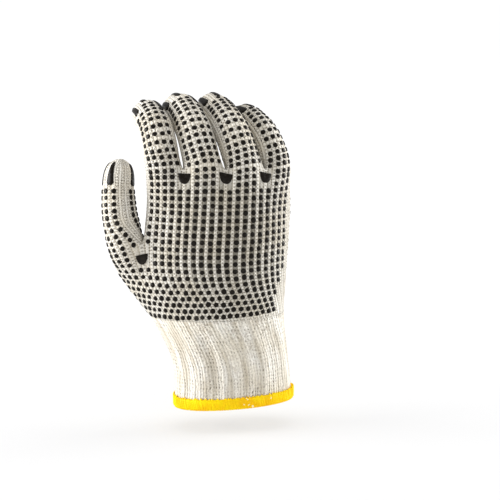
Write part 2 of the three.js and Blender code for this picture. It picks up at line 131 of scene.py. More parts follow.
# Digits. x, y, z: root, as shares of half HAND_WIDTH, HAND_THICKNESS and FINGER_FORK. lean: towards
# the little finger. turn: of the curling plane. roll: of the cloth, at the root and beyond it.
# reach: share of FINGER_REACH. joints: shares of the reach. pitches: palmward slope of each
# segment. wide, deep: root section. taper: the tip's size. pads: those of each face, with their
# place across it as a share, half width in columns and length beyond PAD_LENGTH.
INDEX_PADS = [(0.2, 0.52, 2), (0.58, 0.4, -5), (0.97, 0.5, 5)]
FINGER_PADS = [(0.12, 0.52, 2), (0.54, 0.4, 0), (0.95, 0.5, 7)]
THUMB_PADS = [(0.26, 0.45, -2.5), (0.75, 0.52, -2.5)]
FINGER_JOINTS = (0.36, 0.72)
FINGERS = [
    dict(name="index", x=-0.905, y=0.16, z=1.0, lean=-3.6, turn=6, roll=(-6, -26), reach=0.825,
         joints=FINGER_JOINTS, pitches=(10.4, 68.6, 94.3), wide=0.232, deep=0.67, taper=0.87,
         pads=INDEX_PADS),
    dict(name="middle", x=-0.385, y=-0.04, z=1.0, lean=-6.5, turn=7.7, roll=(-4, -14), reach=0.941,
         joints=FINGER_JOINTS, pitches=(21.4, 65.4, 98.9), wide=0.248, deep=0.72, taper=0.88,
         pads=FINGER_PADS),
    dict(name="ring", x=0.165, y=-0.08, z=0.995, lean=-11.9, turn=8, roll=(-4, 8), reach=0.965,
         joints=FINGER_JOINTS, pitches=(20, 68, 88.4), wide=0.243, deep=0.7, taper=0.88,
         pads=FINGER_PADS),
    dict(name="little", x=0.64, y=0.08, z=0.985, lean=-13.7, turn=13.4, roll=(0, 20), reach=0.855,
         joints=FINGER_JOINTS, pitches=(16.2, 67.6, 99.3), wide=0.198, deep=0.61, taper=0.88,
         pads=FINGER_PADS),
]
THUMB = dict(name="thumb", x=-1.38, y=0.34, z=0.665, lean=-10, turn=-80, roll=(45, 0), reach=0.76,
             joints=(0.3, 0.62), pitches=(-11, -2, 9), wide=0.256, deep=0.7, taper=0.74,
             pads=THUMB_PADS)
DIGITS = [*FINGERS, THUMB]
BEND_LENGTH = 13  # half the length over which a joint bends
ROLL_LENGTH = 18  # length over which the cloth takes its roll
BLEND_LENGTH = 6  # length over which a root leaves the fork's shape
TIP_ROUNDING = 0.5  # length of the rounded tip, as a share of the width
LAST_RING = 0.985  # share of the reach
CURVE_SAMPLES = 360
PATH_STEPS = 48

# Camera, floor and light. Their places and sizes are in metres.
VIEW_AZIMUTH = -10
VIEW_ELEVATION = 15
VIEW_DISTANCE = 1.0
LENS_MM = 120
AIM_RIGHT = 0.0108  # of the image's centre from the origin, along the image's own axes
AIM_UP = 0.0904
FLOOR_DROP = 0.013
FLOOR_GLOW_NEAR = 0.6
FLOOR_GLOW_FAR = 0.9
FLOOR_HALF_SIZE = 15
WORLD_LIGHT = 0.43
LIGHT_AIM = (-0.01, 0.01, 0.09)
# Name, place, size and watts
SOFTBOXES = [
    ("top_box", (0, 0.1, 1.4), (1.6, 1.2), 7),
    ("front_box", (0, -1.3, 0.5), (1.8, 1.0), 3),
    ("left_box", (-1.1, 0.12, 0.34), (0.8, 0.6), 17),
    ("right_box", (1.1, 0.12, 0.34), (0.8, 0.6), 15),
]


def ease(share):
    t = np.clip(share, 0, 1)
    return t * t * (3 - 2 * t)


def mix(a, b, share):
    return a + (b - a) * share


def angles(count):
    return 2 * np.pi * np.arange(count) / count


def points_between(steps, knots, points):
    return np.stack([np.interp(steps, knots, points[:, k]) for k in range(3)], axis=1)


# Points spaced evenly round a closed curve
def spaced_loop(curve, count):
    closed = np.vstack([curve, curve[:1]])
    lengths = np.concatenate([[0], np.cumsum(norm(np.diff(closed, axis=0), axis=1))])
    return points_between(lengths[-1] * np.arange(count) / count, lengths, closed)


# One section of the cuff or palm as a ring, from the thumb side over the back
def section_ring(section, count):
    angle = angles(CURVE_SAMPLES)
    across = np.cos(angle)
    thumbward = across > 0
    back = np.sign(np.sin(angle)) * np.abs(np.sin(angle)) ** SECTION_FULLNESS
    x = -across * np.where(thumbward, section["left"], section["right"]) * HAND_WIDTH / 2
    bow = np.where(thumbward, section["bow_left"], section["bow_right"]) * across**2
    y = (bow - back * section["deep"] / 2) * HAND_THICKNESS
    tilt = math.tan(math.radians(MOUTH_TILT * (1 - section["z"])))
    z = section["z"] * FINGER_FORK + x * tilt
    return spaced_loop(np.stack([x, y, z], axis=1), count)


# Catmull-Rom between key rings at a knot position
def ring_between(knots, keys, t):
    i = int(np.searchsorted(knots[1:-1], t))

    def slope(k):
        before, after = max(k - 1, 0), min(k + 1, len(knots) - 1)
        return (keys[after] - keys[before]) / (knots[after] - knots[before])

    span = knots[i + 1] - knots[i]
    s = (t - knots[i]) / span
    return (
        (2 * s**3 - 3 * s**2 + 1) * keys[i]
        + (s**3 - 2 * s**2 + s) * span * slope(i)
        + (3 * s**2 - 2 * s**3) * keys[i + 1]
        + (s**3 - s**2) * span * slope(i + 1)
    )


def reach_of(digit):
    return digit["reach"] * FINGER_REACH


# Palmward slope of a digit's segments at a length along it
def pitch_at(digit, along):
    first, second, third = digit["pitches"]
    near, far = [
        ease((along - joint * reach_of(digit) + BEND_LENGTH) / (2 * BEND_LENGTH))
        for joint in digit["joints"]
    ]
    return np.radians(first + (second - first) * near + (third - second) * far)


# Centre and directions of a digit at a length along it
def digit_frame(digit, along):
    turn, lean = math.radians(digit["turn"]), math.radians(digit["lean"])
    sideways = np.array([math.cos(turn), math.sin(turn), 0])
    palmward = np.array([-math.sin(turn), math.cos(turn), 0])
    rise = np.array([0, 0, math.cos(lean)]) + sideways * math.sin(lean)
    pitches = pitch_at(digit, (np.arange(PATH_STEPS) + 0.5) * along / PATH_STEPS)
    headings = np.outer(np.cos(pitches), rise) + np.outer(np.sin(pitches), palmward)
    root = np.array([
        digit["x"] * HAND_WIDTH / 2, digit["y"] * HAND_THICKNESS, digit["z"] * FINGER_FORK
    ])
    pitch = float(pitch_at(digit, along))
    heading = rise * math.cos(pitch) + palmward * math.sin(pitch)
    back = rise * math.sin(pitch) - palmward * math.cos(pitch)
    side = np.cross(heading, back)
    return root + headings.sum(axis=0) * along / PATH_STEPS, back, side / norm(side)


# A digit's section at a length along it, rounded off over the tip
def digit_ring(digit, along, count):
    centre, back, side = digit_frame(digit, along)
    wide, deep = digit["wide"] * HAND_WIDTH, digit["deep"] * HAND_THICKNESS
    taper = mix(1, digit["taper"], along / reach_of(digit))
    rounding = TIP_ROUNDING * wide
    past = min(max((along - reach_of(digit) + rounding) / rounding, 0), 1)
    size = taper * math.sqrt(1 - past * past) / 2
    roll = math.radians(mix(*digit["roll"], ease(along / ROLL_LENGTH)))
    angle = angles(count) + roll
    return (
        centre
        - np.outer(np.cos(angle), side) * wide * size
        + np.outer(np.sin(angle), back) * deep * size
    )


def ring_count(columns):
    return 2 * columns + 2 * SIDE_QUADS


def column_count(ring):
    return (len(ring) - 2 * SIDE_QUADS) // 2


LOWER_COUNT = ring_count(THUMB_COLUMNS + HAND_COLUMNS)


# Give a digit's ring and the next one the same two corners and web
def join_at(ring, corner, after):
    for here, there in ((corner, 1), (corner + 1, 0), (corner + 2, -1)):
        ring[here] = after[there] = (ring[here] + after[there]) / 2


# Root rings of the fingers, which share their corners and webs, and the hand's ring below them
def finger_fork():
    roots = [digit_ring(f, 0, ring_count(c)) for f, c in zip(FINGERS, FINGER_COLUMNS)]
    for near, after, columns in zip(roots, roots[1:], FINGER_COLUMNS):
        join_at(near, columns + 1, after)
    hand = section_ring(SECTIONS[FINGER_SECTION], ring_count(HAND_COLUMNS))
    start = 1
    for root, columns in zip(roots, FINGER_COLUMNS):
        for k in range(columns + 1):
            root[1 + k] = mix(root[1 + k], hand[start + k], FORK_SMOOTHING)
            root[-1 - k] = mix(root[-1 - k], hand[-start - k], FORK_SMOOTHING)
        start += columns
    back, palm = [], []
    for i, (root, columns) in enumerate(zip(roots, FINGER_COLUMNS)):
        shared = 1 if i else 0
        back.append(root[1 + shared : columns + 2])
        palm.append(root[columns + 3 :][::-1][shared:])
    outer_side = roots[-1][FINGER_COLUMNS[-1] + 2]
    loop = np.vstack([roots[0][0], *back, outer_side, np.vstack(palm)[::-1]])
    return roots, loop


# Root ring of the thumb and the hand's section share two corners and a web
def thumb_fork():
    hand = section_ring(SECTIONS[THUMB_SECTION], ring_count(HAND_COLUMNS))
    root = digit_ring(THUMB, 0, ring_count(THUMB_COLUMNS))
    corner = THUMB_COLUMNS + 1
    join_at(root, corner, hand)
    lower = np.vstack([root[:corner], hand[1:], root[corner + 3 :]])
    return root, hand, lower


# Rings of a digit beyond its root: each leaves the fork's shape over the blend length
def digit_rings(digit, root, alongs):
    plain = digit_ring(digit, 0, len(root))
    return [
        digit_ring(digit, along, len(root)) + (root - plain) * (1 - ease(along / BLEND_LENGTH))
        for along in alongs
    ]


# A ring moved out by as much as smoothing will draw it in
def held_out(ring):
    smoothed = (np.roll(ring, 1, axis=0) + 4 * ring + np.roll(ring, -1, axis=0)) / 6
    return 2 * ring - smoothed


WRIST_RINGS = [section_ring(section, LOWER_COUNT) for section in SECTIONS[:THUMB_SECTION]]


# Zones of the cage: a name, its rings, and the knit's row at each ring
def skin_zones():
    roots, finger_loop = finger_fork()
    thumb_root, thumb_hand, thumb_lower = thumb_fork()
    knuckles = section_ring(SECTIONS[KNUCKLE_SECTION], ring_count(HAND_COLUMNS))
    corner = THUMB_COLUMNS + 1

    rise = HEIGHTS[KNUCKLE_SECTION] - HEIGHTS[THUMB_SECTION]
    thumb = digit_rings(THUMB, thumb_root, [rise])[0]
    back = (knuckles[1] + thumb[corner]) / 2
    palm = (knuckles[-1] + thumb[corner + 2]) / 2
    past_fork = np.vstack([thumb[:corner], back, knuckles[2:-1], palm, thumb[corner + 3 :]])

    keys = [*WRIST_RINGS, thumb_lower, past_fork]
    steps = np.linspace(CUFF_TOP + SEAT_GAP / 2, HEIGHTS[THUMB_SECTION], LOWER_RINGS + 1)
    lower = [ring_between(HEIGHTS[: KNUCKLE_SECTION + 1], keys, t) for t in steps]
    lower[-1] = thumb_lower

    below = WRIST_RINGS[-1][corner : LOWER_COUNT - corner + 1]
    keys = [np.vstack([below[:1], below]), thumb_hand, knuckles, finger_loop]
    steps = np.linspace(HEIGHTS[THUMB_SECTION], HEIGHTS[FINGER_SECTION], UPPER_RINGS + 1)
    upper = [ring_between(HEIGHTS[THUMB_SECTION - 1 :], keys, t) for t in steps]
    upper[0], upper[-1] = thumb_hand, finger_loop

    zones = {"lower": (lower, rows_of(lower, 0))}
    zones["upper"] = (upper, rows_of(upper, zones["lower"][1][-1]))
    for digit, root in zip(DIGITS, [*roots, thumb_root]):
        below = "lower" if digit is THUMB else "upper"
        alongs = np.linspace(0, LAST_RING * reach_of(digit), DIGIT_RINGS + 1)[1:]
        rings = [root]
        for along, ring in zip(alongs, digit_rings(digit, root, alongs)):
            rings.append(mix(ring, held_out(ring), ease(along / BLEND_LENGTH)))
        rows = zones[below][1][-1] + np.concatenate([[0], alongs]) / DIGIT_ROW_PITCH
        zones[digit["name"]] = (rings, rows)
    return zones


# The knit's row at each ring, from the mean distance between rings over the back
def rows_of(rings, start):
    columns = slice(len(rings[0]) // 8, len(rings[0]) * 3 // 8)
    gaps = [norm(b - a, axis=1)[columns].mean() for a, b in zip(rings, rings[1:])]
    return start + np.concatenate([[0], np.cumsum(gaps)]) / ROW_PITCH


ZONES = skin_zones()
ZONE_NAMES = list(ZONES)
ZONE_STRIDE = 64  # columns set aside for each zone in the grid map
CAP_OFFSET = 100  # rings added to a cap's grid places, to keep them out of look-ups


# Columns by which the wales lie round towards the little finger, at a row of a zone
def wale_slip(zone, row):
    if zone != "lower":
        return 0.0
    return WALE_SLIP * (1 - float(ease(row / ZONES["lower"][1][-1])))


# Rows by which the courses rise towards the little finger's side, near the cuff
def course_rise(zone, u, row):
    if zone != "lower":
        return 0.0
    count = len(ZONES[zone][0][0])
    share = 1 - abs(2 * (u % count) / count - 1)
    return COURSE_RISE * share**1.5 * (1 - float(ease(row / COURSE_RISE_ROWS)))


# Knit columns at a zone's cage columns: the thumb's print spreads into the strip on the web's side
def knit_columns(zone, row):
    rings, rows = ZONES[zone]
    grid = np.arange(len(rings[0]) + 1, dtype=float)
    if zone != "thumb":
        return grid, grid
    spread = THUMB_SPREAD * float(ease((row - rows[0]) / THUMB_SPREAD_ROWS))
    last = THUMB_COLUMNS + 1
    cage = [0, 1, last + spread, last + 2 - spread, 2 * last + 1, grid[-1]]
    return grid, np.interp(grid, cage, [0, 1, last, last + 2, 2 * last + 1, grid[-1]])


def knit_column(zone, u, row):
    return float(np.interp(u, *knit_columns(zone, row)))


def grid_column(zone, column, row):
    grid, knit = knit_columns(zone, row)
    return float(np.interp(column, knit, grid))


def add_object(name, data):
    added = bpy.data.objects.new(name, data)
    bpy.context.scene.collection.objects.link(added)
    return added


def mesh_object(name, places, faces, material=None):
    mesh = bpy.data.meshes.new(name)
    mesh.from_pydata([tuple(p) for p in np.asarray(places) * MM], [], faces)
    mesh.polygons.foreach_set("use_smooth", [True] * len(mesh.polygons))
    if material:
        mesh.materials.append(material)
    return add_object(name, mesh)


# Quads between the rings of a tube, whose points are numbered ring after ring
def tube_faces(rings, count, looped=False):
    pairs = [(r, (r + 1) % rings) for r in range(rings if looped else rings - 1)]
    return [
        [here * count + i, here * count + j, there * count + j, there * count + i]
        for here, there in pairs
        for i, j in zip(range(count), [*range(1, count), 0])
    ]


# The same with a face over each end
def closed_tube_faces(rings, count):
    last = (rings - 1) * count
    return [*tube_faces(rings, count), [*range(count)][::-1], [*range(last, last + count)]]


# Bake an object's modifiers into a plain mesh
def bake_modifiers(piece):
    graph = bpy.context.evaluated_depsgraph_get()
    mesh = bpy.data.meshes.new_from_object(piece.evaluated_get(graph), depsgraph=graph)
    old, name = piece.data, piece.name
    piece.modifiers.clear()
    piece.data = mesh
    bpy.data.meshes.remove(old)
    mesh.name = name
    return piece


def add_wall(piece):
    wall = piece.modifiers.new("wall", "SOLIDIFY")
    wall.thickness = KNIT_THICKNESS * MM
    return bake_modifiers(piece)


# Cage of the whole hand: places, faces, and for each face corner its grid and knit coordinates
def skin_cage():
    places, found, faces, grid, knit = [], {}, [], [], []

    def vertex(point):
        key = tuple(np.round(point * 1e4).astype(int))
        if key not in found:
            found[key] = len(places)
            places.append(point)
        return found[key]

    def face(zone, corners):
        shift = ZONE_NAMES.index(zone) * ZONE_STRIDE
        faces.append([])
        for point, u, ring, row in corners:
            faces[-1].append(vertex(point))
            grid.append((shift + u, ring))
            column = knit_column(zone, u, row) - wale_slip(zone, row)
            knit.append((column, row - course_rise(zone, u, row)))

    for zone, (rings, rows) in ZONES.items():
        for r in range(len(rings) - 1):
            count = len(rings[r])
            for i in range(count):
                face(zone, [
                    (rings[at][u % count], u, at, rows[at])
                    for u, at in ((i, r), (i + 1, r), (i + 1, r + 1), (i, r + 1))
                ])
        if zone not in ("lower", "upper"):
            cap_digit(face, zone, rings[-1], len(rings) - 1 + CAP_OFFSET, rows[-1])
    return places, faces, grid, knit


# Close a digit's last ring with a strip of quads from its back to its palm
def cap_digit(face, zone, ring, at, row):
    columns = column_count(ring)
    for k in range(columns + 2):
        back = [(ring[k], k, at, row), (ring[k + 1], k + 1, at, row)]
        palm = [(ring[-k - 1], k + 1, at + 1, row + 0.5), (ring[-k], k, at + 1, row + 0.5)]
        if k == 0:
            palm.pop()
        if k == columns + 1:
            palm.pop(0)
        face(zone, back + palm)


def add_uv(mesh, name, values):
    layer = mesh.uv_layers.new(name=name)
    layer.data.foreach_set("uv", np.asarray(values, dtype=np.float32).ravel())


def read_all(items, key, width, kind=np.float32):
    values = np.empty(len(items) * width, dtype=kind)
    items.foreach_get(key, values)
    return values.reshape(-1, width)


def read_uv(mesh, name):
    return read_all(mesh.uv_layers[name].data, "uv", 2)


# The vertex at each face corner
def loop_vertices(mesh):
    return read_all(mesh.loops, "vertex_index", 1, np.int64)[:, 0]


# The smooth skin as look-up grids of places and facings, by zone, ring and column
class Cloth:
    def __init__(self, mesh):
        self.places = read_all(mesh.vertices, "co", 3) / MM
        self.facings = np.array([v.vector[:] for v in mesh.vertex_normals])
        grid, corners = read_uv(mesh, "grid"), loop_vertices(mesh)
        zone = np.floor((grid[:, 0] + 0.01) / ZONE_STRIDE).astype(int)
        column = np.round((grid[:, 0] - zone * ZONE_STRIDE) * STEPS).astype(int)
        ring = np.round(grid[:, 1] * STEPS).astype(int)
        # A zone's last column sits at its count, which is below the stride
        self.tables = {}
        for index, name in enumerate(ZONE_NAMES):
            rings = ZONES[name][0]
            table = np.zeros((STEPS * (len(rings) - 1) + 1, STEPS * len(rings[0]) + 1), dtype=int)
            mine = (zone == index) & (ring < table.shape[0])
            table[ring[mine], column[mine]] = corners[mine]
            self.tables[name] = table

    # Mean place, outward facing, and the directions across and up the cloth, at a column and row
    def at(self, zone, u, row):
        table = self.tables[zone]
        ring = float(np.interp(row, ZONES[zone][1], np.arange(len(ZONES[zone][1]))))
        width = table.shape[1] - 1

        def sample(values, u, ring):
            x = (u * STEPS) % width
            y = min(max(ring * STEPS, 0), table.shape[0] - 1.001)
            i, j = int(x), int(y)
            low = mix(values[table[j, i]], values[table[j, i + 1]], x - i)
            high = mix(values[table[j + 1, i]], values[table[j + 1, i + 1]], x - i)
            return mix(low, high, y - j)

        place = sample(self.places, u, ring)
        facing = sample(self.facings, u, ring)
        facing /= norm(facing)
        across = sample(self.places, u + 0.25, ring) - sample(self.places, u - 0.25, ring)
        up = sample(self.places, u, ring + 0.2) - sample(self.places, u, ring - 0.2)
        return place, facing, across * 2, up

    # Length of the cloth in one row, at a column and a row
    def row_length(self, zone, u, row):
        rows = ZONES[zone][1]
        low, high = max(row - 0.5, rows[0]), min(row + 0.5, rows[-1])
        step = self.at(zone, u, high)[0] - self.at(zone, u, low)[0]
        return norm(step) / (high - low)


# Ridges between the columns of dots, and the two wales of each column
def ridges(u, height):
    return np.cos(2 * np.pi * u) * height / 2, np.cos(4 * np.pi * u) * FURROW_DEPTH / 2


# Height of the knit's relief over the mean surface, at a column and a row
def knit_relief(u, row):
    height = mix(RIDGE_HEIGHT, CUFF_RIDGE_HEIGHT, 1 - ease(row / RIDGE_FADE_ROWS))
    return sum(ridges(u, height))


def build_hand_knit(material):
    places, faces, grid, knit = skin_cage()
    piece = mesh_object("knit_hand", places, faces, material)
    add_uv(piece.data, "knit", knit)
    add_uv(piece.data, "grid", grid)
    smooth = piece.modifiers.new("smooth", "SUBSURF")
    smooth.levels = smooth.render_levels = SMOOTH_LEVEL
    smooth.uv_smooth = "NONE"
    bake_modifiers(piece)
    cloth = Cloth(piece.data)
    raise_knit(piece.data, cloth)
    piece.data.uv_layers.remove(piece.data.uv_layers["grid"])
    return piece, cloth


# Move the skin's vertices by the knit's relief, less and less over a digit's rounded tip
def raise_knit(mesh, cloth):
    knit, grid = read_uv(mesh, "knit"), read_uv(mesh, "grid")
    fade = 1 - ease((grid[:, 1] - DIGIT_RINGS + TIP_FADE_RINGS) / TIP_FADE_RINGS)
    relief = np.zeros(len(mesh.vertices))
    relief[loop_vertices(mesh)] = knit_relief(knit[:, 0], knit[:, 1]) * fade
    moved = (cloth.places + cloth.facings * relief[:, None]) * MM
    mesh.vertices.foreach_set("co", moved.astype(np.float32).ravel())
    mesh.update()


# Cuff
CUFF_STEPS = 8  # vertices to a column
CUFF_ROWS = 56
CUFF_JOIN = 6  # length over which the cuff takes the hand's own edge
RIB_STRENGTHS = (0.1, 1.4)
RIB_SHARING = 0.35  # share of its strength that a rib takes from its neighbour
FOLD_HEIGHT = 0.7
FOLDS = [(9, 1, 1), (14, 0.8, 2.2), (21, 0.6, 0.4)]  # waves round the cuff, height, start angle


def cuff_ring(height, per_column):
    keys = [section_ring(s, per_column * LOWER_COUNT) for s in SECTIONS[:THUMB_SECTION]]
    return ring_between(HEIGHTS[:THUMB_SECTION], keys, height)


def outward_of(ring):
    around = np.roll(ring, -1, axis=0) - np.roll(ring, 1, axis=0)
    outward = np.cross(around, [0, 0, 1.0])
    return outward / norm(outward, axis=1)[:, None]


# How deep each rib's furrow is, as the stretched cuff opens some more than others
def rib_strengths(seed):
    spread = np.random.default_rng(seed).uniform(*RIB_STRENGTHS, LOWER_COUNT)
    return mix(spread, np.roll(spread, 1), RIB_SHARING)


# Broad shallow folds of the cuff, several ribs wide, which fade at its two ends
def cuff_folds(columns, level):
    turn = 2 * np.pi * columns / LOWER_COUNT
    folds = sum(height * np.sin(waves * turn + start) for waves, height, start in FOLDS)
    return folds * FOLD_HEIGHT / 2 * ease(level / 0.25) * ease((1 - level) / 0.3)


def build_cuff(cloth, material):
    count = CUFF_STEPS * LOWER_COUNT
    columns = np.arange(count) / CUFF_STEPS
    table = cloth.tables["lower"]
    edge_columns = np.arange(table.shape[1]) / STEPS
    edge = points_between(columns, edge_columns, cloth.places[table[0]])
    top = CUFF_TOP + SEAT_GAP / 2
    heights = np.linspace(HEM_THREAD + SEAT_GAP, top, CUFF_ROWS + 1)
    drift = edge - cuff_ring(top, CUFF_STEPS)
    furrows = np.arange(LOWER_COUNT)
    strength = np.interp(columns - 0.5, furrows, rib_strengths(11), period=LOWER_COUNT)
    rings = []
    for height in heights:
        ring = cuff_ring(height, CUFF_STEPS)
        outward = outward_of(ring)
        join = ease((height - top + CUFF_JOIN) / CUFF_JOIN)
        ribs, wales = ridges(columns, CUFF_RIDGE_HEIGHT)
        relief = ribs * mix(strength, 1, join) + wales
        relief = relief + cuff_folds(columns, (height - heights[0]) / (top - heights[0]))
        rings.append(ring + drift * join + outward * relief[:, None])
    knit = []
    rows = (heights - top) / ROW_PITCH
    for low, high in zip(rows, rows[1:]):
        for i in range(count):
            left, right = i / CUFF_STEPS, (i + 1) / CUFF_STEPS
            knit += [(left, low), (right, low), (right, high), (left, high)]
    faces = tube_faces(len(rings), count)
    piece = mesh_object("knit_cuff", np.vstack(rings), faces, material)
    add_uv(piece.data, "knit", knit)
    return add_wall(piece)


# Raised pads: a strip of stations over the cloth, each a domed section, closed all round
PAD_PROFILE = [
    (-1, -0.7), (-1, 0.3), (-0.84, 0.8), (-0.4, 1), (0.4, 1), (0.84, 0.8), (1, 0.3), (1, -0.7),
]
# Stations of a fingertip pad: shares of its length from the foot, of its width and of its height
PAD_STATIONS = [
    (0, 0.35, 0.4), (0.02, 0.62, 0.8), (0.06, 0.86, 1), (0.12, 1, 1),
    *[(share, 1 - 0.5 * share, 1) for share in np.linspace(0.2, 0.9, 9)],
    (0.96, 0.42, 0.8), (1, 0.25, 0.4),
]


def strip_pad(cloth, zone, stations):
    places = []
    for u, row, half_width, height in stations:
        for across, lift in PAD_PROFILE:
            place, facing, _, _ = cloth.at(zone, u + across * half_width, row)
            places.append(place + facing * lift * (height if lift > 0 else PAD_HEIGHT))
    return places, closed_tube_faces(len(stations), len(PAD_PROFILE))


# One mesh of many parts, each with its places and faces
def build_pads(name, parts, material):
    places, faces = [], []
    for part_places, part_faces in parts:
        start = len(places)
        places += part_places
        faces += [[start + i for i in face] for face in part_faces]
    return mesh_object(name, places, faces, material)


# Pads of a digit on both faces: middle column, half width, first row and last row
def pads_of(digit):
    rings, rows = ZONES[digit["name"]]
    columns = column_count(rings[0])
    end = rows[0] + (reach_of(digit) - PAD_TO_TIP) / DIGIT_ROW_PITCH
    pads = []
    for share, half, extra in digit["pads"]:
        start = end - (PAD_LENGTH + extra) / DIGIT_ROW_PITCH
        pads.append((1 + columns * share, half, start, end))
        pads.append((columns + 3 + columns * (1 - share), half, start, end))
    return pads


# Row at which the dots of a column end, short of the pads
def last_dot_row(digit, column):
    pads = pads_of(digit)
    near = [start for middle, half, start, _ in pads if abs(column - middle) < half + PRINT_MARGIN]
    return min([max(start for _, _, start, _ in pads), *near]) - PRINT_MARGIN


# Tapered pads on the back and the palm of each digit's tip
def tip_pads(cloth):
    for digit in DIGITS:
        for middle, half, start, end in pads_of(digit):
            stations = []
            for share, width, height in PAD_STATIONS:
                row = mix(start, end, share)
                u = grid_column(digit["name"], middle, row)
                stations.append((u, row, half * width, PAD_HEIGHT * height))
            yield strip_pad(cloth, digit["name"], stations)


# Places of the web marks: zone, column and how far the flat edge lies below the fork
def web_marks():
    marks = [("lower", THUMB_COLUMNS + 1, THUMB_DOT_DROP)]
    for k in range(1, len(FINGER_COLUMNS)):
        marks.append(("upper", 1 + sum(FINGER_COLUMNS[:k]), WEB_DOT_DROP))
    return [
        (zone, place, drop)
        for zone, column, drop in marks
        for place in (column, len(ZONES[zone][0][0]) - column)
    ]


# Half-round marks with their flat edge up. Profile from the foot: share of the height below the
# flat edge, and lift.
WEB_MARK_PROFILE = [
    (0.99, 0.5), (0.94, 0.8), (0.85, 0.95), (0.7, 1), (0.5, 1), (0.3, 1), (0.12, 1), (0.04, 0.85),
    (0, 0.5),
]
WEB_MARK_ROUNDNESS = 2.8


def web_pads(cloth):
    for zone, column, drop in web_marks():
        top = ZONES[zone][1][-1]
        _, _, across, _ = cloth.at(zone, column, top - 1)
        half = WEB_DOT_WIDTH / 2 / norm(across)
        stations = []
        for down, lift in WEB_MARK_PROFILE:
            narrowed = half * math.sqrt(1 - down**WEB_MARK_ROUNDNESS)
            row = top - (drop + down * WEB_DOT_HEIGHT) / ROW_PITCH
            stations.append((column, row, narrowed, WEB_PAD_HEIGHT * lift))
        yield strip_pad(cloth, zone, stations)


# Whether a dot would touch a web mark or the bare cloth above it
def near_web_mark(zone, u, row):
    below_top = (ZONES[zone][1][-1] - PRINT_MARGIN - row) * ROW_PITCH
    return any(
        zone == mark_zone and abs(u - column) < 1 and below_top < drop + WEB_DOT_HEIGHT
        for mark_zone, column, drop in web_marks()
    )


# Places of the dots with their facings, their ways up and their sizes, row by row
def dot_points(cloth):
    rng = np.random.default_rng(4)
    dots = []

    def put(zone, u, row):
        u = grid_column(zone, u + rng.normal(0, DOT_SHIFT[0]), row)
        row += course_rise(zone, u, row) + rng.normal(0, DOT_SHIFT[1])
        place, facing, across, up = cloth.at(zone, u, row)
        width = norm(across) / DOT_PITCH[0]
        length = cloth.row_length(zone, u, row) / DOT_PITCH[1]
        size = min(DOT_DIAMETER, width, length) / DOT_DIAMETER * rng.normal(1, DOT_UNLIKENESS)
        dots.append((place, facing, up / norm(up), size))

    for zone, (rings, rows) in ZONES.items():
        columns = column_count(rings[0])
        digit = next((d for d in DIGITS if d["name"] == zone), None)
        for row in np.arange(int(rows[0]), int(rows[-1]) + 1) + 0.5:
            if not rows[0] <= row < rows[-1]:
                continue
            slip = wale_slip(zone, row)
            inset = PRINT_INSET * (slip / WALE_SLIP) ** 2
            spare = PRINT_SPARE * slip / WALE_SLIP
            back = (1 - spare, 1 + columns - inset)
            palm = (columns + 3 + inset, 2 * columns + 3 + spare)
            for u in np.arange(-WALE_SLIP, 2 * columns + 4) + 0.5 + slip:
                inside = back[0] < u < back[1] or palm[0] < u < palm[1]
                past_end = digit and row >= last_dot_row(digit, u)
                if inside and not past_end and not near_web_mark(zone, u, row):
                    put(zone, u, row)
    return zip(*dots)


# A closed low dome, one unit across and one unit high over the cloth, sunk a little into it
def dot_shape():
    levels = [(0.9, -0.8), (1.0, 0.15), (0.84, 0.72), (0.45, 0.95)]
    places = [
        (r / 2 * math.cos(a), r / 2 * math.sin(a), z)
        for r, z in levels
        for a in angles(DOT_SIDES)
    ]
    *faces, top = closed_tube_faces(len(levels), DOT_SIDES)
    pole = len(places)
    places.append((0, 0, 1))
    faces += [[here, after, pole] for here, after in zip(top, top[1:] + top[:1])]
    return mesh_object("dot_shape", np.array(places) / MM, faces)


def by_math_node(operation):
    def result(field, *others):
        return field.tree.math(operation, field, *others)

    return result


# A socket of a node tree that can be used in sums and products
class Field:
    def __init__(self, tree, socket):
        self.tree, self.socket = tree, socket

    __add__ = by_math_node("ADD")
    __sub__ = by_math_node("SUBTRACT")
    __mul__ = by_math_node("MULTIPLY")
    __truediv__ = by_math_node("DIVIDE")
    __pow__ = by_math_node("POWER")
    __abs__ = by_math_node("ABSOLUTE")
    fraction = by_math_node("FRACT")

    def __rsub__(self, other):
        return self.tree.math("SUBTRACT", other, self)

    def off_middle(self):
        return abs(self.fraction() - 0.5)


# Node trees, for materials and for geometry
class Tree:
    def __init__(self, tree):
        self.tree = tree

    def put(self, socket, value):
        if isinstance(value, Field):
            self.tree.links.new(value.socket, socket)
        else:
            socket.default_value = value

    def node(self, kind, inputs=None, **settings):
        node = self.tree.nodes.new(kind)
        for name, value in settings.items():
            setattr(node, name, value)
        for name, value in (inputs or {}).items():
            self.put(node.inputs[name], value)
        return node

    # One output of a new node
    def field(self, kind, inputs=None, output=0, **settings):
        return Field(self, self.node(kind, inputs, **settings).outputs[output])

    def math(self, operation, *values):
        return self.field("ShaderNodeMath", dict(enumerate(values)), operation=operation)

    def vector(self, **parts):
        return self.field("ShaderNodeCombineXYZ", parts)

    def split(self, vector):
        node = self.node("ShaderNodeSeparateXYZ", {"Vector": vector})
        return [Field(self, output) for output in node.outputs]

    def ramp(self, value, low, high, to_low=0, to_high=1):
        return self.field("ShaderNodeMapRange", {
            "Value": value, "From Min": low, "From Max": high, "To Min": to_low, "To Max": to_high
        }, interpolation_type="SMOOTHSTEP")


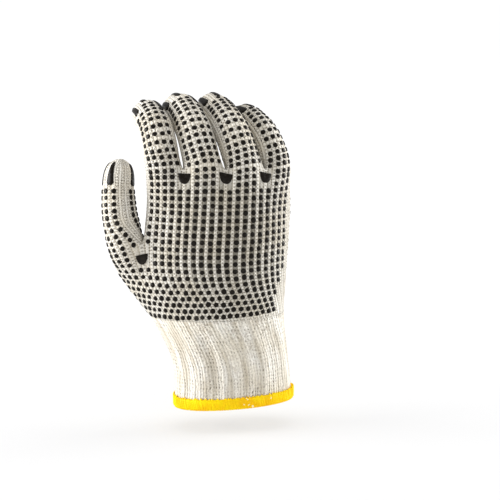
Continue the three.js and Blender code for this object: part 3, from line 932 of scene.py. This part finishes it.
class Finish(Tree):
    def __init__(self, name):
        self.material = bpy.data.materials.new(name)
        self.material.use_nodes = True
        super().__init__(self.material.node_tree)
        self.surface = self.tree.nodes["Principled BSDF"]
        self.place = self.field("ShaderNodeTexCoord", output="Object")

    def set(self, **values):
        for name, value in values.items():
            label = name.replace("_", " ").title().replace("Ior", "IOR")
            self.put(self.surface.inputs[label], value)

    def noise(self, scale, detail=2, place=None):
        return self.field("ShaderNodeTexNoise", {
            "Vector": place or self.place, "Scale": scale, "Detail": detail
        }, "Fac")

    # Noise drawn out between two of its levels
    def patches(self, scale, low, high, to_low=0, to_high=1, detail=2):
        return self.ramp(self.noise(scale, detail), low, high, to_low, to_high)

    def blend(self, share, first, second):
        return self.field("ShaderNodeMix", {0: share, 6: first, 7: second}, 2, data_type="RGBA")

    def bump(self, height, distance_mm, strength=1, **normal):
        return self.field("ShaderNodeBump", {
            "Height": height, "Distance": distance_mm * MM, "Strength": strength, **normal
        })


CREAM = (0.9, 0.87, 0.8, 1)
CREAM_WARM = (0.84, 0.785, 0.675, 1)
# Darker yarn for flecks and streaks, and also the painted shade in the knit's furrows
DARK_YARN_AND_SHADE_COLOUR = (0.54, 0.47, 0.35, 1)
HOLE_COLOUR = (0.16, 0.125, 0.075, 1)
# Painted shade between the dots at the middle of the hand
PAINTED_SHADE_COLOUR = (0.12, 0.107, 0.08, 1)
# Speckle of open stitches, and also painted shade at the middle of the cuff
SPECKLE_AND_SHADE_COLOUR = (0.33, 0.28, 0.215, 1)
STREAK_WIDTH = 1.3  # columns
STREAK_LENGTH = 9  # rows
PVC = (0.006, 0.004, 0.002, 1)
# Paler greys on the dots: dust, and painted highlights that stand in for reflections
PVC_DUST_AND_HIGHLIGHT = (0.05, 0.045, 0.038, 1)
PVC_HIGHLIGHT = (0.07, 0.063, 0.052, 1)
YELLOW = (1, 0.76, 0.003, 1)
YELLOW_DEEP = (0.97, 0.57, 0.003, 1)
YELLOW_GROOVE_SHADE = (0.74, 0.38, 0.003, 1)
YELLOW_PALE = (0.95, 0.86, 0.5, 1)
YELLOW_GLOW = (1, 0.68, 0, 1)
FLOOR_COLOUR = (0.3, 0.3, 0.302, 1)


# Height, holes, column and row of plain knit: two wales to a column, and stitches whose two legs
# lean into a V
def stitch_pattern(finish, courses, unevenness):
    column, row, _ = finish.split(finish.field("ShaderNodeUVMap", uv_map="knit"))
    wobble = (finish.noise(230) - 0.5) * unevenness
    wale = column * 2 + 0.5 + wobble
    course = row * courses + wobble
    across = wale.off_middle() * 2
    leg = (course + across * 0.6).fraction()
    yarn = finish.math("SINE", leg * math.pi) ** 0.6
    height = (1 - across**1.8) * (yarn * 0.45 + 0.55)
    gap = (1 - across) / 0.5
    span = course.off_middle() / 0.34
    hole = finish.ramp(gap**2 + span**2, 1, 0.2)
    return height, hole, column, row


# Long soft darker streaks along the wales, placed by noise
def wale_streaks(finish, column, row):
    place = finish.vector(X=column * (1 / STREAK_WIDTH), Y=row * (1 / STREAK_LENGTH))
    return finish.ramp(finish.noise(1, 3, place), 0.42, 0.66)


# Painted shade of the cloth between the dots, deepest in the dots' own columns at the middle of the
# hand
def painted_shade_between_dots(finish, column):
    x, _, z = finish.split(finish.place)
    span = finish.ramp(z, 0.152, 0.118) * finish.ramp(z, 0.054, 0.09)
    middle = finish.ramp(abs(x + 0.006), 0.052, 0.016) * span
    return middle * finish.ramp(column.off_middle(), 0.4, 0.22, 0.04, 0.86)


# Small holes on the ridge between two columns of dots, two to a row
def ridge_holes(finish, column, row):
    across = (column + 0.5).off_middle() / 0.15
    along = (row * 2).off_middle() / 0.27
    return finish.ramp(across**2 + along**2, 1.3, 0.2)


# Speckle of the bare rib's open stitches, densest near the hand and away from the sides. Its fading
# towards the sides and the hem is painted shade, which leaves the middle of the cuff's upper part
# darker.
def rib_speckle_and_shade(finish):
    x, _, z = finish.split(finish.place)
    near_hand = finish.ramp(z, 0.018, 0.052, 0.42)
    off_sides = finish.ramp(abs(x), 0.036, 0.018, 0.2)
    speckle = finish.patches(850, 0.47, 0.62) * finish.patches(75, 0.36, 0.6, 0.3)
    return speckle * (near_hand * off_sides)


def cotton_finish(name, courses, hole_share, furrow_shade_share, streak_share, relief_mm, printed=False):
    finish = Finish(name)
    height, hole, column, row = stitch_pattern(finish, courses, 0.3 if printed else 1.1)
    streak = wale_streaks(finish, column, row) * streak_share
    fleck = finish.patches(1300, 0.5, 0.68, detail=3) * 0.4
    # Painted shade: the cloth darkens where the stitch relief is low, in the furrows between the
    # wales
    furrow_shade = finish.ramp(height, 0.55, 0.05) * furrow_shade_share
    colour = finish.blend(finish.patches(55, 0.35, 0.7), CREAM, CREAM_WARM)
    for share in (streak, fleck, furrow_shade):
        colour = finish.blend(share, colour, DARK_YARN_AND_SHADE_COLOUR)
    opened = finish.patches(330, 0.35, 0.65) * finish.patches(90, 0.35, 0.6, 0.35)
    hole = hole * opened * hole_share
    if printed:
        # Painted shade darkens the cloth between the dots, most at the middle of the hand
        colour = finish.blend(painted_shade_between_dots(finish, column), colour, PAINTED_SHADE_COLOUR)
        hole = finish.math("MAXIMUM", hole, ridge_holes(finish, column, row) * 0.62)
    else:
        # Speckle of open stitches together with painted shade, darker at the middle of the cuff
        # near the hand
        colour = finish.blend(rib_speckle_and_shade(finish) * 0.78, colour, SPECKLE_AND_SHADE_COLOUR)
    colour = finish.blend(hole, colour, HOLE_COLOUR)
    fuzz = finish.bump(finish.noise(2600, 3), 0.12, 0.6)
    finish.set(base_color=colour, roughness=finish.patches(700, 0.3, 0.7, 0.82, 0.97),
               specular_ior_level=0.2, sheen_weight=0.2, sheen_roughness=0.5,
               normal=finish.bump(height - hole * 0.8, relief_mm, Normal=fuzz))
    return finish.material


def dot_finish():
    finish = Finish("pvc_dot")
    # Paler patches on the dots: the fine ones are dust and painted highlights, the broad ones are
    # painted highlights
    dust_and_highlight = finish.patches(420, 0.58, 0.74, detail=3) * 0.35
    painted_highlight = finish.patches(70, 0.6, 0.75) * 0.4
    colour = finish.blend(painted_highlight, finish.blend(dust_and_highlight, PVC, PVC_DUST_AND_HIGHLIGHT), PVC_HIGHLIGHT)
    finish.set(base_color=colour, roughness=finish.patches(500, 0.3, 0.7, 0.22, 0.4),
               specular_ior_level=0.13, normal=finish.bump(finish.noise(900), 0.15, 0.4))
    return finish.material


def thread_finish():
    finish = Finish("yellow_thread")
    twist = finish.field("ShaderNodeTexWave", {
        "Vector": finish.place, "Scale": 620, "Distortion": 2.5, "Detail": 2, "Detail Scale": 3
    }, "Fac", bands_direction="DIAGONAL")
    colour = finish.blend(finish.patches(130, 0.35, 0.68), YELLOW, YELLOW_DEEP)
    # Painted shade: the thread darkens in the low grooves of its twist
    colour = finish.blend((1 - twist) * 0.35, colour, YELLOW_GROOVE_SHADE)
    colour = finish.blend(finish.patches(260, 0.73, 0.76, detail=1), colour, YELLOW_PALE)
    # The faint yellow emission is a painted glow that makes the thread brighter than its lamps
    # light it
    finish.set(base_color=colour, roughness=finish.patches(900, 0.3, 0.7, 0.55, 0.8),
               specular_ior_level=0.12, normal=finish.bump(twist, 0.14, 0.6),
               emission_color=YELLOW_GLOW, emission_strength=0.06)
    return finish.material


# White all round, and a little dimmer near the glove, where the soft boxes light it too
def floor_finish():
    finish = Finish("pale_floor")
    away = finish.field("ShaderNodeVectorMath", {0: finish.place}, "Value", operation="LENGTH")
    finish.set(base_color=FLOOR_COLOUR, roughness=finish.patches(40, 0.3, 0.7, 0.7, 0.8),
               specular_ior_level=0, emission_color=(1, 1, 1, 1),
               emission_strength=finish.ramp(away, 0.12, 0.7, FLOOR_GLOW_NEAR, FLOOR_GLOW_FAR))
    return finish.material


SOCKETS = {
    float: "NodeSocketFloat", int: "NodeSocketInt", bpy.types.Object: "NodeSocketObject",
    bpy.types.Material: "NodeSocketMaterial",
}


# A geometry tree with named inputs, which puts a shape on points
class Maker(Tree):
    def __init__(self, name, shape, material, inputs):
        super().__init__(bpy.data.node_groups.new(name, "GeometryNodeTree"))
        self.shape = shape
        self.values = {}
        self.add_socket("Geometry", "NodeSocketGeometry")
        for label, value in {"Shape": shape, **inputs, "Material": material}.items():
            self.values[self.add_socket(label, SOCKETS[type(value)])] = value
        self.add_socket("Geometry", "NodeSocketGeometry", "OUTPUT")
        self.given = self.node("NodeGroupInput")

    def add_socket(self, label, kind, side="INPUT"):
        return self.tree.interface.new_socket(label, in_out=side, socket_type=kind).identifier

    def input(self, label):
        return Field(self, self.given.outputs[label])

    def attribute(self, name, kind="FLOAT_VECTOR"):
        return self.field("GeometryNodeInputNamedAttribute", {"Name": name}, data_type=kind)

    # Random values between two limits, from the tree's own seed
    def random(self, low, high, kind, output):
        return self.field("FunctionNodeRandomValue", {
            "Min": low, "Max": high, "Seed": self.input("Seed")
        }, output, data_type=kind)

    # Turn that sets an instance's Z along one attribute and its Y along another
    def turned(self, facing, way):
        kind = "FunctionNodeAlignRotationToVector"
        first = self.field(kind, {"Vector": self.attribute(facing)}, axis="Z")
        vectors = {"Rotation": first, "Vector": self.attribute(way)}
        return self.field(kind, vectors, axis="Y", pivot_axis="Z")

    # Put the shape on the points and leave the result as their plain mesh
    def run(self, points, rotation, scale):
        shape = self.field("GeometryNodeObjectInfo", {"Object": self.input("Shape")}, "Geometry")
        placed = self.field("GeometryNodeInstanceOnPoints", {
            "Points": self.input("Geometry"), "Instance": shape, "Rotation": rotation,
            "Scale": scale,
        })
        real = self.field("GeometryNodeRealizeInstances", {"Geometry": placed})
        smooth = self.field("GeometryNodeSetShadeSmooth", {"Geometry": real})
        dressed = self.field("GeometryNodeSetMaterial", {
            "Geometry": smooth, "Material": self.input("Material")
        })
        self.node("NodeGroupOutput", {0: dressed})
        modifier = points.modifiers.new("maker", "NODES")
        modifier.node_group = self.tree
        for identifier, value in self.values.items():
            modifier[identifier] = value
        bake_modifiers(points)
        bpy.data.objects.remove(self.shape)
        return points


# Points with a facing, a way up and a size, for a maker to put shapes on
def point_object(name, places, facings, ways, sizes):
    piece = mesh_object(name, places, [])
    vector, number = ("FLOAT_VECTOR", "vector"), ("FLOAT", "value")
    for label, (kind, key), values in (
        ("facing", vector, facings), ("way", vector, ways), ("size", number, sizes)
    ):
        attribute = piece.data.attributes.new(label, kind, "POINT")
        attribute.data.foreach_set(key, np.asarray(values, dtype=np.float32).ravel())
    return piece


def build_dots(cloth, material):
    maker = Maker("dot_grid", dot_shape(), material, {
        "Dot Diameter": DOT_DIAMETER * MM, "Dot Height": DOT_HEIGHT * MM, "Seed": 7
    })
    wide = maker.input("Dot Diameter") * maker.attribute("size", "FLOAT")
    scale = maker.vector(X=wide, Y=wide, Z=maker.input("Dot Height"))
    stretch = maker.random((0.92, 0.92, 0.85), (1.08, 1.08, 1.12), "FLOAT_VECTOR", 0)
    scale = maker.field("ShaderNodeVectorMath", {0: scale, 1: stretch}, operation="MULTIPLY")
    points = point_object("grip_dots", *dot_points(cloth))
    return maker.run(points, maker.turned("facing", "way"), scale)


THREAD_SIDES = 6


# One thread of the hem: a loop lying over the outside, under the edge and up the inside
def thread_shape():
    outer = HEM_OUTER + HEM_THREAD * 0.55
    inner = HEM_INNER - HEM_THREAD * 0.55
    radius = HEM_THREAD * 0.45
    path = [
        (1.25, outer - 0.35, HEM_HEIGHT - 0.45), (0.95, outer, HEM_HEIGHT - 1), (0.7, outer, 4),
        (0.45, outer, 2.6), (0.2, outer, 1.3), (0, outer - 0.45, 0.5),
        (0, mix(inner, outer, 0.5), 0.3), (0, inner + 0.45, 0.5), (-0.2, inner, 1.3),
        (-0.6, inner, 3.2), (-0.9, inner + 0.2, HEM_HEIGHT - 0.6),
    ]
    places = []
    for k, point in enumerate(path):
        ahead = np.subtract(path[min(k + 1, len(path) - 1)], path[max(k - 1, 0)])
        ahead = ahead / norm(ahead)
        side = np.array([1.0, 0, 0]) - ahead * ahead[0]
        side /= norm(side)
        up = np.cross(ahead, side)
        size = radius * (0.5 if k in (0, len(path) - 1) else 1)
        for angle in angles(THREAD_SIDES):
            around = side * math.cos(angle) * 1.15 + up * math.sin(angle)
            places.append(np.array(point) + around * size)
    return mesh_object("thread_shape", places, closed_tube_faces(len(path), THREAD_SIDES))


# Rounded band under the threads. Half of its profile: out from the cuff's face, and height.
def hem_band(material):
    swell = HEM_THREAD * 0.62
    top = HEM_HEIGHT - 0.5
    half = [
        (-0.4, 0.3), (swell * 0.5, 0.55), (swell, 1.3), (swell, top - 0.5), (0, top),
        (-0.3, top - 0.8), (-0.3, 1),
    ]
    profile = [(HEM_OUTER + out, height) for out, height in half]
    profile += [(HEM_INNER - out, height) for out, height in half[::-1]]
    rings = []
    for out, height in profile:
        ring = cuff_ring(height, HEM_STEPS)
        rings.append(ring + outward_of(ring) * out)
    faces = tube_faces(len(rings), HEM_STEPS * LOWER_COUNT, looped=True)
    return mesh_object("hem_band", np.vstack(rings), faces, material)


def build_hem(material):
    maker = Maker("hem_threads", thread_shape(), material, {"Slant Degrees": 7.0, "Seed": 3})
    slant = maker.math("RADIANS", maker.input("Slant Degrees"))
    lean = maker.vector(Y=maker.random(slant * -1, slant, "FLOAT", 1))
    tipped = maker.field("FunctionNodeRotateRotation", {
        "Rotation": maker.turned("way", "facing"),
        "Rotate By": maker.field("FunctionNodeEulerToRotation", {"Euler": lean}),
    }, rotation_space="LOCAL")
    size = maker.attribute("size", "FLOAT")
    ring = spaced_loop(cuff_ring(0, HEM_STEPS), HEM_LOOPS)
    ups = np.tile([0.0, 0.0, 1.0], (HEM_LOOPS, 1))
    sizes = np.random.default_rng(9).uniform(0.9, 1.2, HEM_LOOPS)
    points = point_object("hem_threads", ring, outward_of(ring), ups, sizes)
    return maker.run(points, tipped, maker.vector(X=size, Y=1, Z=size * 0.5 + 0.5))


def settle(piece, slot, *nodes):
    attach(piece, "root")
    if nodes:
        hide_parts(*nodes)


WEBS = ["thumb", "index_middle", "middle_ring", "ring_little"]
cotton = cotton_finish("cotton_knit", 2.5, 1, 0.7, 0.25, 0.7, printed=True)
rib_cotton = cotton_finish("rib_knit", 2, 0.75, 0.1, 0.6, 0.35)
pvc = dot_finish()
thread = thread_finish()

hand, cloth = build_hand_knit(cotton)
cuff = build_cuff(cloth, rib_cotton)
add_wall(hand)
dots = build_dots(cloth, pvc)
pads = build_pads("fingertip_pads", tip_pads(cloth), pvc)
marks = build_pads("web_marks", web_pads(cloth), pvc)
band = hem_band(thread)
threads = build_hem(thread)

settle(hand, "cotton_knit", "knit_palm", "finger_index", "finger_middle", "finger_ring",
       "finger_little", "thumb")
settle(cuff, "cotton_rib", "rib_cuff")
settle(dots, "pvc_dots")
settle(pads, "pvc_dots")
settle(marks, "pvc_dots", *[f"web_mark_{face}_{web}" for face in ("back", "palm") for web in WEBS])
settle(band, "overlock_thread", "hem_overlock")
settle(threads, "overlock_thread")


def point_at(thing, place, aim):
    thing.location = place
    thing.rotation_euler = (aim - thing.location).to_track_quat("-Z", "Y").to_euler()


# Camera, floor and light
def add_camera():
    azimuth, elevation = math.radians(VIEW_AZIMUTH), math.radians(VIEW_ELEVATION)
    back = Vector((
        math.sin(azimuth) * math.cos(elevation), -math.cos(azimuth) * math.cos(elevation),
        math.sin(elevation),
    ))
    right = Vector((math.cos(azimuth), math.sin(azimuth), 0))
    data = bpy.data.cameras.new("camera")
    data.lens = LENS_MM
    data.clip_end = 20
    camera = add_object("camera", data)
    point_at(camera, back * VIEW_DISTANCE, right * AIM_RIGHT + back.cross(right) * AIM_UP)
    bpy.context.scene.camera = camera


def add_floor():
    low = min(v.co.z for piece in (band, threads) for v in piece.data.vertices)
    corners = np.array([(-1, -1, 0), (1, -1, 0), (1, 1, 0), (-1, 1, 0)]) * FLOOR_HALF_SIZE
    places = (corners + [0, 0, low - FLOOR_DROP]) / MM
    mesh_object("floor", places, [[0, 1, 2, 3]], floor_finish())


def add_softbox(name, place, size, power):
    data = bpy.data.lights.new(name, "AREA")
    data.shape = "RECTANGLE"
    data.size, data.size_y = size
    data.energy = power
    point_at(add_object(name, data), place, Vector(LIGHT_AIM))


def add_light():
    world = bpy.data.worlds.new("studio")
    bpy.context.scene.world = world
    world.use_nodes = True
    background = world.node_tree.nodes["Background"]
    background.inputs["Color"].default_value = (1, 1, 1, 1)
    background.inputs["Strength"].default_value = WORLD_LIGHT
    for softbox in SOFTBOXES:
        add_softbox(*softbox)
    bpy.context.scene.view_settings.view_transform = "Standard"
    bpy.context.scene.view_settings.look = "None"


add_camera()
add_floor()
add_light()
